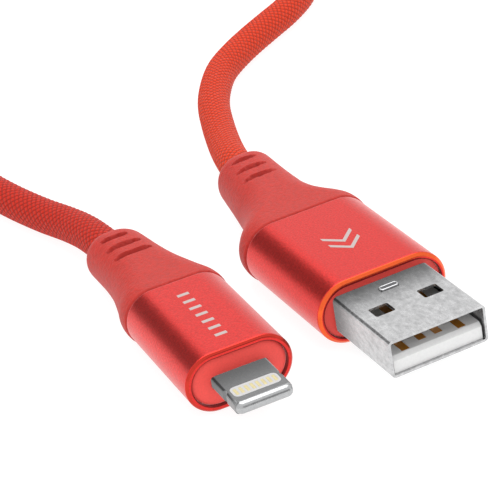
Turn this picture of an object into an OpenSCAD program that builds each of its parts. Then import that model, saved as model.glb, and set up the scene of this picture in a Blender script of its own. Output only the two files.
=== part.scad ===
// Braided charging cable: a wide four-contact plug, a slim eight-contact plug and one metre of cable.
// The wide plug lies along X and points to +X. Its underside rests on z = 0 with the origin at its middle.

/* [Cord] */
// Diameter of the braided cord
cord_d = 4.4; // [4:0.1:4.6]
// Diameter of the jacket under the braid
jacket_d = 3.6; // [3.2:0.1:3.8]
// Diameter of each insulated wire
wire_d = 1.1; // [0.8:0.1:1.2]

/* [Wide plug] */
// Width of the aluminium sleeve
a_w = 16.4; // [16:0.1:18]
// Thickness of the aluminium sleeve
a_h = 7.8; // [7.6:0.1:8.4]
// Length of the aluminium sleeve
a_len = 18; // [17.5:0.5:20]
// Length of the flexible boot
a_boot_len = 21; // [20:0.5:24]
// Length of steel that stands out of the sleeve
a_steel_out = 11.9; // [11.5:0.1:12.2]
// Sideways shift of the boot's cord end, where the cord flexes it
a_lean = 1.75; // [0:0.25:2]

/* [Slim plug] */
// Width of the aluminium sleeve
b_w = 12.7; // [12.4:0.1:14]
// Thickness of the aluminium sleeve
b_h = 7.2; // [7:0.1:8]
// Length of the aluminium sleeve
b_len = 17.3; // [17:0.1:19]
// Length of the flexible boot
b_boot_len = 18.3; // [17:0.1:20]
// Length of the tab that stands out of the sleeve
b_tab_out = 6.8; // [6.6:0.1:7]
// Sideways shift of the boot's cord end, where the cord flexes it
b_lean = -1.05; // [-1.5:0.05:0]
// Angle that the slim plug lies at
b_yaw = -2.1; // [-3:0.1:0]

/* [Sleeves] */
// Wall of both aluminium sleeves
wall = 0.7; // [0.6:0.05:0.8]
// Polished chamfer round the front of both sleeves
chamfer = 0.4; // [0.2:0.05:0.5]
// How far the collars sit behind the front of the sleeves
collar_recess = 0.35; // [0.2:0.05:0.5]
// Thickness of the collars
collar_t = 1.5; // [1.2:0.1:2]

/* [Coil] */
// Diameter of the coil at the middle of its turns
coil_d = 46; // [46:1:48]
// Thickness of the tie
tie_t = 0.8; // [0.6:0.1:1]
// Width of the tie
tie_w = 10; // [8:1:12]

/* [Hidden] */
$fn = 48;

red_metal = [0.86, 0.25, 0.24];
red_rubber = [0.80, 0.24, 0.22];
braid_red = [0.85, 0.27, 0.18];
steel_grey = [0.75, 0.75, 0.76];
off_white = [0.93, 0.93, 0.91];
gold = [0.85, 0.62, 0.25];
solder_grey = [0.62, 0.63, 0.65];
chip_black = [0.12, 0.12, 0.13];
ceramic_tan = [0.7, 0.6, 0.45];
board_green = [0.1, 0.35, 0.25];
tie_black = [0.2, 0.2, 0.22];
wire_colours = [[0.8, 0.1, 0.1], [0.1, 0.1, 0.1], [0.95, 0.95, 0.95], [0.1, 0.55, 0.2]];

cord_r = cord_d / 2;
jacket_r = jacket_d / 2;
wire_r = wire_d / 2;

// Wide plug, from its front to the back of its boot
a_length = a_steel_out + a_len + a_boot_len;
a_front = a_length / 2;
a_face = a_front - a_steel_out;  // front of the sleeve
a_seam = a_face - a_len;  // where the sleeve meets the boot
a_back = -a_front;
a_z = a_h / 2;

steel_w = 12;
steel_h = 4.5;
steel_t = 0.3;
steel_len = 18.7;
steel_corner = 0.5;
steel_back = a_front - steel_len;
steel_in_w = steel_w - 2 * steel_t;
steel_in_h = steel_h - 2 * steel_t;

window_w = 2.4;
window_len = 2;
window_at = 6.45;  // behind the steel front
window_side = 3.05;
window_corner = 0.25;
lug_w = 2.2;
lug_len = 0.7;
lug_h = 0.15;
lug_at = 10.3;

tongue_t = 1.95;
tongue_recess = 0.35;
tongue_chamfer = 0.45;
contact_w = 1;
contact_t = 0.25;
contact_tail = 2.6;
power_pitch = 7;
data_pitch = 2;
power_recess = 1;  // behind the steel front
data_recess = 1.7;
tongue_top = a_z - steel_in_h / 2 + tongue_t;

seam_gap = 0.1;  // line under the shell where its sheet meets
insulator_gap = 0.2;  // on each side of the tongue

clamp_t = 0.4;  // sheet of the crimped cord clamps
clamp_len = 3;
a_clamp_x = a_seam + 0.8;
a_jacket_front = 0.4;
pocket_back = a_jacket_front - 0.7;
pocket_w = 9.2;
pocket_h = 4;
solder_r = 0.6;
a_tail_x = steel_back - contact_tail / 2 - 0.3;
// Wires as red, black, white, green: [y at the contact, y and rise at the jacket]
a_wires = [[-3.5, -1.1, 0.6], [3.5, 1.1, -0.6], [-1, -0.4, -0.6], [1, 0.4, 0.6]];

// Slim plug in its own frame: x = 0 at the front of its sleeve, on z = 0
b_at = [16.5, -19.5, 0];
b_z = b_h / 2;
b_seam = -b_len;
b_back = -b_len - b_boot_len;

tab_w = 6.7;
tab_h = 1.5;
tab_corner = 0.45;
tab_back = -5.5;
nose_r = tab_h / 2;
strip_w = 5.5;
strip_from = 3.1;
strip_to = 5.2;
strip_corner = 0.6;
pad_pitch = 0.65;
pad_w = 0.36;
pad_len = 1.25;
pad_t = 0.15;
pad_x = (strip_from + strip_to) / 2;
detent_r = 0.6;
detent_x = 3.4;
detent_off = 0.27;  // from the tab's edge out to the detent's centre

board_t = 0.6;
board_tongue_w = 4.6;
board_w = 6.8;
board_back = -12.2;
board_front = strip_from + 0.5;
can_w = 8.6;
can_h = 4.2;
can_t = 0.2;
can_front = -2.6;
can_back = -13;
can_corner = 0.4;
board_top = b_z + board_t / 2;
control_chip = [2.2, 2.4, 0.6];
control_chip_x = -7.3;
power_chip = [1.6, 1.6, 0.5];
power_chip_x = -7.4;
capacitor = [0.6, 0.6, 0.35];
capacitor_x = [-6.1, -7.3];
capacitor_y = 2.3;
b_clamp_x = b_seam + 0.6;
b_joint_r = 0.5;
b_joint_x = -10.8;
b_jacket_front = can_back + 0.4;
b_wire_r = 0.33;
b_wire_end_z = b_z + 0.75;
// Wires as red, black, white, green: [y at the board, y at the jacket]
b_wires = [[-2.4, -1.1], [2.4, 1.1], [-0.8, -0.4], [0.8, 0.4]];

// Boot outlines: [share of the length, half width, half height]
a_boot_shape = [
  [0, a_w / 2, a_h / 2], [0.05, a_w / 2 - 0.05, a_h / 2], [0.1, 7.9, a_h / 2], [0.16, 7.3, 3.88],
  [0.23, 6.5, 3.85],
  [0.32, 5.65, 3.8], [0.42, 5.0, 3.75], [0.53, 4.65, 3.7], [0.65, 4.4, 3.65], [0.77, 4.2, 3.6],
  [0.88, 4.05, 3.5], [0.93, 3.95, 3.4], [0.965, 3.65, 3.1], [0.99, 3.15, 2.7], [1, 2.7, 2.5]
];
b_boot_shape = [
  [0, b_w / 2, b_h / 2], [0.06, b_w / 2 - 0.03, b_h / 2], [0.14, 6.15, b_h / 2], [0.22, 5.75, 3.55],
  [0.31, 5.3, 3.5], [0.42, 4.8, 3.45], [0.53, 4.45, 3.4], [0.65, 4.2, 3.35], [0.77, 4.05, 3.3],
  [0.87, 3.95, 3.2], [0.92, 3.85, 3.1], [0.96, 3.5, 2.9], [0.99, 3.0, 2.6], [1, 2.65, 2.45]
];
boot_sides = 32;
// Grooves on the boots: [share of the boot's length, length of the groove]
a_grooves = [[0.60, 4.6], [0.73, 4.2], [0.86, 3.4]];
b_grooves = [[0.56, 4.8], [0.70, 4.4], [0.84, 3.6]];
groove_r = 0.45;

// Coil, between the two runs
coil_at = [-146.5, 14, 0];
coil_r = coil_d / 2;
row_rise = cord_d * sin(60);  // from the lower turns' middles to the upper ones'
tie_angle = 200;

// Route of the cord from the wide plug to the coil
run_wide = [
  [a_back, a_lean, a_z], [-29.5, 2.5, 3.7], [-33.5, 3.6, 3.1], [-38, 5, 2.5], [-44, 7, 2.2], [-50, 9.3, 2.2],
  [-55, 12, 2.2], [-59.5, 15.2, 2.2], [-63, 19, 2.2], [-66, 23, 2.2], [-69, 27.5, 2.2], [-72, 32, 2.2],
  [-76, 36.5, 2.2], [-81, 39.8, 2.2], [-87, 41.8, 2.2], [-95, 43, 2.2], [-104, 43.2, 2.2],
  [-114, 42.9, 2.2], [-124, 42.3, 2.2], [-134, 41.7, 2.2], [-146.5, 41.4, 2.2]
];
// Route of the cord from the coil to the slim plug
run_slim = [
  [-146.5, -11.2, 6], [-140, -11.3, 6.4], [-134, -11.8, 6.2], [-127, -12.8, 4.4], [-119, -14.4, 2.6],
  [-111, -16.6, 2.2], [-103, -19, 2.2], [-95, -21.3, 2.2], [-87, -23.2, 2.2], [-79, -24.6, 2.2],
  [-71, -25.4, 2.2], [-63, -25.6, 2.2], [-55, -25.1, 2.2], [-48, -24.1, 2.2], [-42, -22.9, 2.2],
  [-36, -21.4, 2.3], [-31, -20.2, 2.7], [-26.5, -19.6, 3.2], [-22.5, -19.4, 3.5],
  placed_b([b_back, b_lean, b_z])
];
run_sides = 12;

function placed_b(p) =
  b_at + [cos(b_yaw) * p.x - sin(b_yaw) * p.y, sin(b_yaw) * p.x + cos(b_yaw) * p.y, p.z];
function unit(v) = v / norm(v);
function ring(c, along, r) =
  let (side = unit(cross(along, [0, 0, 1])), up = cross(side, along))
  [for (k = [0:run_sides - 1]) c + r * (cos(k * 360 / run_sides) * side + sin(k * 360 / run_sides) * up)];
// Quads between rings of n points, and the two end faces
function skin(rings, n) = concat(
  [for (i = [0:rings - 2], k = [0:n - 1])
    [i * n + k, i * n + (k + 1) % n, (i + 1) * n + (k + 1) % n, (i + 1) * n + k]],
  [[for (k = [n - 1:-1:0]) k], [for (k = [0:n - 1]) (rings - 1) * n + k]]
);
// Rounded section: half width w, half height h, its round ends as full as they can be
function section(x, y, z, w, h) =
  let (r = min(w, h))
  [for (k = [0:boot_sides - 1]) let (a = (k + 0.5) * 360 / boot_sides)
    [x, y + sign(cos(a)) * (w - r) + r * cos(a), z + sign(sin(a)) * (h - r) + r * sin(a)]];

// A tube along the route, with a ring at each point. The first and last rings face the given directions.
module tube(route, first, last) {
  n = len(route);
  rings = [for (i = [0:n - 1])
    ring(route[i], i == 0 ? first : i == n - 1 ? last : unit(route[i + 1] - route[i - 1]), cord_r)];
  polyhedron(points = [for (r = rings, p = r) p], faces = skin(n, run_sides), convexity = 10);
}
module rod(p, q, r) {
  d = q - p;
  translate(p) rotate([0, acos(d.z / norm(d)), atan2(d.y, d.x)]) cylinder(h = norm(d), r = r);
}
module along_x(x0, x1) {
  translate([x0, 0, 0]) rotate([90, 0, 90]) linear_extrude(x1 - x0) children();
}
module stadium(w, h) {
  square([w - h, h], center = true);
  for (s = [-1, 1]) translate([s * (w - h) / 2, 0]) circle(d = h);
}
module rounded(w, h, r) {
  square([w - 2 * r, h], center = true);
  square([w, h - 2 * r], center = true);
  for (s = [-1, 1], t = [-1, 1]) translate([s * (w / 2 - r), t * (h / 2 - r)]) circle(r);
}
// The front end of a stadium bar, narrowing by the chamfer
module chamfered_end(w, h, c, x) {
  translate([x, 0, 0]) {
    for (s = [-1, 1]) translate([0, s * (w - h) / 2, 0]) rotate([0, 90, 0])
      cylinder(h = c, r1 = h / 2, r2 = h / 2 - c);
    translate([0, (w - h) / 2, 0]) rotate([90, 0, 0]) linear_extrude(w - h)
      polygon([[0, -h / 2], [c, -h / 2 + c], [c, h / 2 - c], [0, h / 2]]);
  }
}
module sleeve(w, h, x0, x1, z) {
  translate([0, 0, z]) difference() {
    union() {
      along_x(x0, x1 - chamfer) stadium(w, h);
      chamfered_end(w, h, chamfer, x1 - chamfer);
    }
    along_x(x0 - 1, x1 + 1) stadium(w - 2 * wall, h - 2 * wall);
  }
}
module boot_solid(shape, from, length, lean, z) {
  rings = [for (s = shape) section(from - s[0] * length, lean * s[0] * s[0], z, s[1], s[2])];
  polyhedron(points = [for (r = rings, p = r) p], faces = skin(len(shape), boot_sides), convexity = 4);
}
// Slots across the top and bottom of a boot, with round ends
module boot_grooves(grooves, shape, from, length, lean, z) {
  for (g = grooves, s = [-1, 1]) {
    x = from - g[0] * length;
    half = lookup(g[0], [for (p = shape) [p[0], p[2]]]);
    translate([x, lean * g[0] * g[0], z + s * half]) rotate([90, 0, 0]) {
      cylinder(h = g[1] - 2 * groove_r, r = groove_r, center = true);
      for (e = [-1, 1]) translate([0, 0, e * (g[1] / 2 - groove_r)]) sphere(groove_r);
    }
  }
}
// The cord where the boot holds it, straight from the seam to the boot's end
module cord_in_boot(from, to, lean, z) {
  intersection() {
    rod([from + 1, -lean / (from - to), z], [to - 1, lean * (1 + 1 / (from - to)), z], cord_r);
    translate([to, -10, 0]) cube([from - to, 20, 10]);
  }
}
module clamp(x, z) {
  translate([x, 0, z]) rotate([0, 90, 0]) difference() {
    cylinder(h = clamp_len, r = jacket_r + clamp_t);
    translate([0, 0, -1]) cylinder(h = clamp_len + 2, r = jacket_r);
  }
}
// A soldered joint: a dome that stands on a flat
module dome(p, r) {
  translate(p) intersection() {
    sphere(r);
    translate([-2 * r, -2 * r, 0]) cube(4 * r);
  }
}
module jacket(x0, x1, z) {
  translate([x0, 0, z]) rotate([0, 90, 0]) cylinder(h = x1 - x0, r = jacket_r);
}

// ---- wide plug ----
module wide_sleeve() {
  color(red_metal) sleeve(a_w, a_h, a_seam, a_face, a_z);
}
module steel_outline() {
  rounded(steel_w, steel_h, steel_corner);
}
module wide_collar() {
  front = a_face - collar_recess;
  color(red_rubber) translate([0, 0, a_z]) difference() {
    along_x(front - collar_t, front) stadium(a_w - 2 * wall, a_h - 2 * wall);
    along_x(a_face - 5, a_face + 1) steel_outline();
  }
}
module wide_boot() {
  color(red_rubber) difference() {
    boot_solid(a_boot_shape, a_seam, a_boot_len, a_lean, a_z);
    boot_grooves(a_grooves, a_boot_shape, a_seam, a_boot_len, a_lean, a_z);
    rod([a_seam + 1, -a_lean / a_boot_len, a_z], [a_back - 1, a_lean * (1 + 1 / a_boot_len), a_z], cord_r);
  }
}
module wide_steel_shell() {
  color(steel_grey) translate([0, 0, a_z]) {
    difference() {
      along_x(steel_back, a_front) steel_outline();
      along_x(steel_back - 1, a_front + 1) rounded(steel_in_w, steel_in_h, steel_corner - steel_t);
      for (s = [-1, 1]) translate([a_front - window_at, s * window_side, 0])
        linear_extrude(steel_h + 2, center = true) rounded(window_len, window_w, window_corner);
      translate([steel_back - 1, -seam_gap / 2, -steel_h])
        cube([steel_len + 2, seam_gap, steel_h - steel_h / 2 + steel_t / 2]);
    }
    translate([a_front - lug_at - lug_len / 2, -lug_w / 2, steel_h / 2]) cube([lug_len, lug_w, lug_h]);
  }
}
module contact_strip(y, recess) {
  translate([steel_back - contact_tail, y - contact_w / 2, tongue_top - contact_t])
    cube([a_front - recess - steel_back + contact_tail, contact_w, contact_t]);
}
module contact_strips() {
  for (s = [-1, 1]) {
    contact_strip(s * power_pitch / 2, power_recess);
    contact_strip(s * data_pitch / 2, data_recess);
  }
}
module wide_power_contacts() {
  color(gold) for (s = [-1, 1]) contact_strip(s * power_pitch / 2, power_recess);
}
module wide_data_contacts() {
  color(gold) for (s = [-1, 1]) contact_strip(s * data_pitch / 2, data_recess);
}
module wide_insulator() {
  floor_z = a_z - steel_in_h / 2;
  end = a_front - tongue_recess;
  color(off_white) difference() {
    union() {
      translate([0, steel_in_w / 2 - insulator_gap, 0]) rotate([90, 0, 0])
        linear_extrude(steel_in_w - 2 * insulator_gap)
        polygon([[steel_back, floor_z], [end, floor_z], [end, tongue_top - tongue_chamfer],
          [end - tongue_chamfer, tongue_top], [steel_back, tongue_top]]);
      translate([0, 0, a_z]) along_x(steel_back, a_face - collar_recess)
        rounded(steel_in_w, steel_in_h, steel_corner - steel_t);
    }
    contact_strips();
  }
}
module a_joints() {
  for (w = a_wires) dome([a_tail_x, w[0], tongue_top], solder_r);
}
module wide_solder_joints() {
  color(solder_grey) a_joints();
}
module a_wire(i) {
  w = a_wires[i];
  difference() {
    rod([a_tail_x, w[0], tongue_top + wire_r], [a_jacket_front, w[1], a_z + w[2]], wire_r);
    a_joints();
    contact_strips();
    jacket(a_seam, a_jacket_front, a_z);
  }
}
module wide_wire_red() { color(wire_colours[0]) a_wire(0); }
module wide_wire_black() { color(wire_colours[1]) a_wire(1); }
module wide_wire_white() { color(wire_colours[2]) a_wire(2); }
module wide_wire_green() { color(wire_colours[3]) a_wire(3); }
module wide_cord_end() {
  color(braid_red) {
    cord_in_boot(a_seam, a_back, a_lean, a_z);
    jacket(a_seam, a_jacket_front, a_z);
  }
}
module wide_cord_clamp() { color(steel_grey) clamp(a_clamp_x, a_z); }
module wide_inner_mould() {
  front = a_face - collar_recess - collar_t;
  color(off_white) difference() {
    translate([0, 0, a_z]) along_x(a_seam, front) stadium(a_w - 2 * wall, a_h - 2 * wall);
    translate([0, 0, a_z]) along_x(steel_back, front + 1) steel_outline();
    // one pocket holds the tails, the joints and the fanned wires
    translate([pocket_back, -pocket_w / 2, a_z - pocket_h / 2])
      cube([steel_back - pocket_back, pocket_w, pocket_h]);
    translate([a_clamp_x, 0, a_z]) rotate([0, 90, 0]) cylinder(h = clamp_len, r = jacket_r + clamp_t);
    jacket(a_seam - 1, a_jacket_front + 0.5, a_z);
  }
}

// ---- slim plug, in its own frame ----
module slim() {
  translate(b_at) rotate([0, 0, b_yaw]) children();
}
module slim_sleeve() {
  color(red_metal) slim() sleeve(b_w, b_h, b_seam, 0, b_z);
}
module tab_outline() {
  rounded(tab_w, tab_h, tab_corner);
}
module slim_collar() {
  color(red_rubber) slim() translate([0, 0, b_z]) difference() {
    along_x(-collar_recess - collar_t, -collar_recess) stadium(b_w - 2 * wall, b_h - 2 * wall);
    along_x(-5, 1) tab_outline();
  }
}
module slim_boot() {
  color(red_rubber) slim() difference() {
    boot_solid(b_boot_shape, b_seam, b_boot_len, b_lean, b_z);
    boot_grooves(b_grooves, b_boot_shape, b_seam, b_boot_len, b_lean, b_z);
    rod([b_seam + 1, -b_lean / b_boot_len, b_z], [b_back - 1, b_lean * (1 + 1 / b_boot_len), b_z], cord_r);
  }
}
module tab_window(height) {
  translate([pad_x, 0, -height / 2]) linear_extrude(height)
    rounded(strip_to - strip_from, strip_w, strip_corner);
}
module slim_tab_frame() {
  color(steel_grey) slim() translate([0, 0, b_z]) difference() {
    union() {
      along_x(tab_back, b_tab_out - nose_r) tab_outline();
      translate([b_tab_out - nose_r, 0, 0]) rotate([90, 0, 0])
        cylinder(h = tab_w - 2 * nose_r, r = nose_r, center = true);
      for (s = [-1, 1]) translate([b_tab_out - nose_r, s * (tab_w / 2 - nose_r), 0]) sphere(nose_r);
    }
    tab_window(2 * tab_h);
    translate([tab_back - 1, -board_tongue_w / 2, -board_t / 2])
      cube([board_front - tab_back + 1, board_tongue_w, board_t]);
    for (s = [-1, 1]) translate([detent_x, s * (tab_w / 2 + detent_off), -2]) cylinder(h = 4, r = detent_r);
  }
}
module pads(side) {
  z = side > 0 ? tab_h / 2 - pad_t : -tab_h / 2;
  for (k = [-3.5:1:3.5]) translate([pad_x - pad_len / 2, k * pad_pitch - pad_w / 2, z])
    cube([pad_len, pad_w, pad_t]);
}
module slim_contacts_top() { color(gold) slim() translate([0, 0, b_z]) pads(1); }
module slim_contacts_bottom() { color(gold) slim() translate([0, 0, b_z]) pads(-1); }
module slim_tab_insulator() {
  color(off_white) slim() translate([0, 0, b_z]) difference() {
    tab_window(tab_h);
    pads(1);
    pads(-1);
    translate([0, -board_tongue_w / 2, -board_t / 2]) cube([board_front, board_tongue_w, board_t]);
  }
}
module slim_circuit_board() {
  color(board_green) slim() translate([0, 0, b_z - board_t / 2]) {
    translate([tab_back, -board_tongue_w / 2, 0]) cube([board_front - tab_back, board_tongue_w, board_t]);
    translate([board_back, -board_w / 2, 0]) cube([tab_back - board_back, board_w, board_t]);
  }
}
// A flat package on the board, with its middle at x, y and its underside at z
module package(x, y, z, size) {
  translate([x - size.x / 2, y - size.y / 2, z]) cube(size);
}
module slim_control_chip() {
  color(chip_black) slim() package(control_chip_x, 0, board_top, control_chip);
}
module slim_power_chip() {
  color(chip_black) slim() package(power_chip_x, 0, board_top - board_t - power_chip.z, power_chip);
}
module slim_capacitors() {
  color(ceramic_tan) slim() for (s = [-1, 1], x = capacitor_x)
    package(x, s * capacitor_y, board_top, capacitor);
}
module b_joints() {
  for (w = b_wires) dome([b_joint_x, w[0], board_top], b_joint_r);
}
module slim_solder_joints() {
  color(solder_grey) slim() b_joints();
}
module b_wire(i) {
  w = b_wires[i];
  slim() difference() {
    rod([b_joint_x, w[0], board_top + b_wire_r + 0.05], [b_jacket_front, w[1], b_wire_end_z], b_wire_r);
    b_joints();
    jacket(b_seam, b_jacket_front, b_z);
  }
}
module slim_wire_red() { color(wire_colours[0]) b_wire(0); }
module slim_wire_black() { color(wire_colours[1]) b_wire(1); }
module slim_wire_white() { color(wire_colours[2]) b_wire(2); }
module slim_wire_green() { color(wire_colours[3]) b_wire(3); }
module slim_shield_can() {
  color(steel_grey) slim() translate([0, 0, b_z]) difference() {
    along_x(can_back, can_front) rounded(can_w, can_h, can_corner);
    along_x(can_back + can_t, can_front - can_t)
      rounded(can_w - 2 * can_t, can_h - 2 * can_t, can_corner - can_t);
    along_x(can_front - 1, can_front + 1) tab_outline();
    along_x(can_back - 1, can_back + 1) circle(jacket_r);
  }
}
module slim_cord_end() {
  color(braid_red) slim() {
    cord_in_boot(b_seam, b_back, b_lean, b_z);
    jacket(b_seam, b_jacket_front, b_z);
  }
}
module slim_cord_clamp() { color(steel_grey) slim() clamp(b_clamp_x, b_z); }
module slim_inner_mould() {
  color(off_white) slim() difference() {
    translate([0, 0, b_z]) along_x(b_seam, -collar_recess - collar_t)
      stadium(b_w - 2 * wall, b_h - 2 * wall);
    translate([0, 0, b_z]) along_x(can_back, can_front) rounded(can_w, can_h, can_corner);
    translate([0, 0, b_z]) along_x(can_front - 1, 1) tab_outline();
    translate([b_clamp_x, 0, b_z]) rotate([0, 90, 0]) cylinder(h = clamp_len, r = jacket_r + clamp_t);
    jacket(b_seam - 1, can_back + 0.5, b_z);
  }
}

// ---- cord between the plugs ----
module cord_run_wide() {
  color(braid_red) tube(run_wide, [-1, 0, 0], [-1, 0, 0]);
}
module cord_run_slim() {
  color(braid_red) tube(run_slim, [1, 0, 0], [cos(b_yaw), sin(b_yaw), 0]);
}
// Outline of three turns side by side with two on them, wrapped in a layer of the given thickness
module bundle(wrap) {
  r = cord_r + wrap;
  // middle of each corner's turn, and the angles that its arc runs between
  corners = [
    [cord_d, 0, -90, 30], [cord_d / 2, row_rise, 30, 90],
    [-cord_d / 2, row_rise, 90, 150], [-cord_d, 0, 150, 270]
  ];
  translate([coil_r, cord_r]) polygon([
    for (c = corners, a = [c[2]:15:c[3]]) [c.x + r * cos(a), c.y + r * sin(a)]
  ]);
}
// The turns' outline without the strip where the tie passes under them
module tied_turns() {
  difference() {
    bundle(0);
    translate([0, -tie_t]) square([2 * coil_r, 2 * tie_t]);
  }
}
module tie_slice() {
  rotate([0, 0, tie_angle]) translate([0, -tie_w / 2, -1]) cube([2 * coil_r, tie_w, 5 * cord_d]);
}
module cord_coil() {
  color(braid_red) translate(coil_at) difference() {
    rotate_extrude($fn = 96) bundle(0);
    intersection() {
      translate([0, 0, -1]) cylinder(h = 1 + tie_t, r = 2 * coil_r);
      tie_slice();
    }
  }
}
module cord_tie() {
  color(tie_black) translate(coil_at) intersection() {
    rotate_extrude($fn = 96) difference() {
      intersection() {
        bundle(tie_t);
        square([2 * coil_r, 5 * cord_d]);
      }
      tied_turns();
    }
    tie_slice();
  }
}

wide_sleeve();
wide_collar();
wide_boot();
wide_steel_shell();
wide_insulator();
wide_power_contacts();
wide_data_contacts();
wide_solder_joints();
wide_inner_mould();
wide_cord_clamp();
wide_cord_end();
wide_wire_red();
wide_wire_black();
wide_wire_white();
wide_wire_green();
slim_sleeve();
slim_collar();
slim_boot();
slim_tab_frame();
slim_tab_insulator();
slim_contacts_top();
slim_contacts_bottom();
slim_circuit_board();
slim_control_chip();
slim_power_chip();
slim_capacitors();
slim_shield_can();
slim_inner_mould();
slim_solder_joints();
slim_cord_clamp();
slim_cord_end();
slim_wire_red();
slim_wire_black();
slim_wire_white();
slim_wire_green();
cord_run_wide();
cord_coil();
cord_run_slim();
cord_tie();
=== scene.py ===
import math

import bmesh
import bpy
from mathutils import Matrix, Vector
from mathutils.geometry import interpolate_bezier


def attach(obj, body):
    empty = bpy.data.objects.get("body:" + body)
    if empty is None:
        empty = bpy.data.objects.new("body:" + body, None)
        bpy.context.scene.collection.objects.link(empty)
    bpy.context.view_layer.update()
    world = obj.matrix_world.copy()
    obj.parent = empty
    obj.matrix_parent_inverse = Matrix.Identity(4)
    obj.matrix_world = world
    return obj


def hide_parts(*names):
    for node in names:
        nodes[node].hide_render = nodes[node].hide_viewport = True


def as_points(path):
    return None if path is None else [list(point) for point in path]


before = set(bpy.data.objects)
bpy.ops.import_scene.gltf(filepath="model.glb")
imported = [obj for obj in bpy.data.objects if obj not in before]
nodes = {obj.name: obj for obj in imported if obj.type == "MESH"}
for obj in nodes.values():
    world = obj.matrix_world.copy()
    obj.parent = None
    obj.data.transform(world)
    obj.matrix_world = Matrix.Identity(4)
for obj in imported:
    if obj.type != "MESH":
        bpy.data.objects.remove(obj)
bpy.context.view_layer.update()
mm = 0.001
print("frame loaded,", len(nodes), "parts")


# camera, looking down along the plugs from their front
view = {
    "place": (0.20752, -0.09301, 0.12807),
    "back": (0.8171, -0.3296, 0.4730),
    "up": (-0.3678, 0.3338, 0.8679),
    "lens": 161.0,
}


def makeCamera():
    back = Vector(view["back"]).normalized()
    right = Vector(view["up"]).cross(back).normalized()
    up = back.cross(right)
    data = bpy.data.cameras.new("camera")
    data.lens = view["lens"]
    data.sensor_width = 36
    data.clip_start = 0.01
    data.clip_end = 20
    camera = bpy.data.objects.new("camera", data)
    turn = Matrix((right, up, back)).transposed().to_4x4()
    camera.matrix_world = Matrix.Translation(view["place"]) @ turn
    bpy.context.scene.collection.objects.link(camera)
    bpy.context.scene.camera = camera


makeCamera()

slimPlace = Matrix.Translation((16.5 * mm, -19.5 * mm, 0)) @ Matrix.Rotation(math.radians(-2.1), 4, "Z")
widePlace = Matrix.Identity(4)


# mesh helpers

mergeGap = 1e-6  # corners closer than this, in metres, become one


def rolledGrid(around, along, place, grooveShade=None):
    # a grid rolled into a tube: place(u, t) gives each corner, u runs round and t along
    bm = bmesh.new()
    layer = bm.loops.layers.uv.new("wrap")
    # an optional fourth function stores each corner's share of painted groove shade in the "groove" layer
    deep = bm.verts.layers.float.new("groove") if grooveShade else None
    bmesh.ops.create_grid(bm, x_segments=around, y_segments=along, size=1)
    for face in bm.faces:
        for loop in face.loops:
            loop[layer].uv = ((loop.vert.co.x + 1) / 2, (loop.vert.co.y + 1) / 2)
    for vert in bm.verts:
        u, t = (vert.co.x + 1) / 2, (vert.co.y + 1) / 2
        if grooveShade:
            vert[deep] = grooveShade(u, t)
        vert.co = place(u, t)
    return bm


def finishMesh(bm, name, materials, place=widePlace, sharp=35, cap=False):
    bmesh.ops.remove_doubles(bm, verts=bm.verts, dist=mergeGap)
    if cap:
        bmesh.ops.holes_fill(bm, edges=[e for e in bm.edges if e.is_boundary], sides=0)
    bmesh.ops.recalc_face_normals(bm, faces=bm.faces)
    bmesh.ops.transform(bm, matrix=place, verts=bm.verts)
    mesh = bpy.data.meshes.new(name)
    bm.to_mesh(mesh)
    bm.free()
    mesh.shade_smooth()
    mesh.set_sharp_from_angle(angle=math.radians(sharp))
    for material in materials:
        mesh.materials.append(material)
    piece = bpy.data.objects.new(name, mesh)
    red = any(word in name for word in ("sleeve", "collar", "boot"))
    # only the wide plug's nose and mark show in the metal's reflections
    piece.visible_glossy = name.startswith("wide_") and not red
    bpy.context.scene.collection.objects.link(piece)
    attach(piece, "root")
    return piece


def raiseFaces(bm, thickness):
    # gives flat faces a thickness upwards, in mm
    grown = bmesh.ops.extrude_face_region(bm, geom=bm.faces[:])["geom"]
    corners = [g for g in grown if isinstance(g, bmesh.types.BMVert)]
    bmesh.ops.translate(bm, verts=corners, vec=(0, 0, thickness * mm))


def stadiumPoint(u, halfWidth, halfHeight):
    # a point on a round-ended outline and the way out there; u starts in the middle of the underside
    r = min(halfWidth, halfHeight)
    flat = halfWidth - r
    arc = math.pi * r
    d = (u % 1.0) * (4 * flat + 2 * arc)
    if d < flat:
        return (d, -halfHeight), (0, -1)
    d -= flat
    if d < arc:
        a = d / r - math.pi / 2
        return (flat + r * math.cos(a), r * math.sin(a)), (math.cos(a), math.sin(a))
    d -= arc
    if d < 2 * flat:
        return (flat - d, halfHeight), (0, 1)
    d -= 2 * flat
    if d < arc:
        a = d / r + math.pi / 2
        return (-flat + r * math.cos(a), r * math.sin(a)), (math.cos(a), math.sin(a))
    d -= arc
    return (-flat + d, -halfHeight), (0, -1)


def sweptRing(around, profile, pointAt, name, materials, sharp, place=widePlace, tint=None):
    # a closed profile swept round; tint gives some of the profile's steps another material
    steps = len(profile)
    bm = rolledGrid(around, steps, lambda u, t: pointAt(u, profile[round(t * steps) % steps]))
    if tint:
        layer = bm.loops.layers.uv["wrap"]
        for face in bm.faces:
            middle = sum(loop[layer].uv.y for loop in face.loops) / 4
            face.material_index = tint.get(int(middle * steps), 0)
    return finishMesh(bm, name, materials, place, sharp)


crisp = {"merge": 2e-6, "flat": 1.5, "sharp": 35, "segments": 2}


def crispCopy(node, name, material, bevel):
    # a copy of a part with its facets merged and its edges broken
    bm = bmesh.new()
    bm.from_mesh(nodes[node].data)
    bmesh.ops.remove_doubles(bm, verts=bm.verts, dist=crisp["merge"])
    bmesh.ops.dissolve_limit(bm, angle_limit=math.radians(crisp["flat"]), verts=bm.verts, edges=bm.edges)
    piece = finishMesh(bm, name, [material], sharp=crisp["sharp"])
    edge = piece.modifiers.new("edge", "BEVEL")
    edge.width = bevel * mm
    edge.segments = crisp["segments"]
    edge.limit_method = "ANGLE"
    edge.angle_limit = math.radians(crisp["sharp"])
    edge.harden_normals = True
    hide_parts(node)
    return piece


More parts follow.
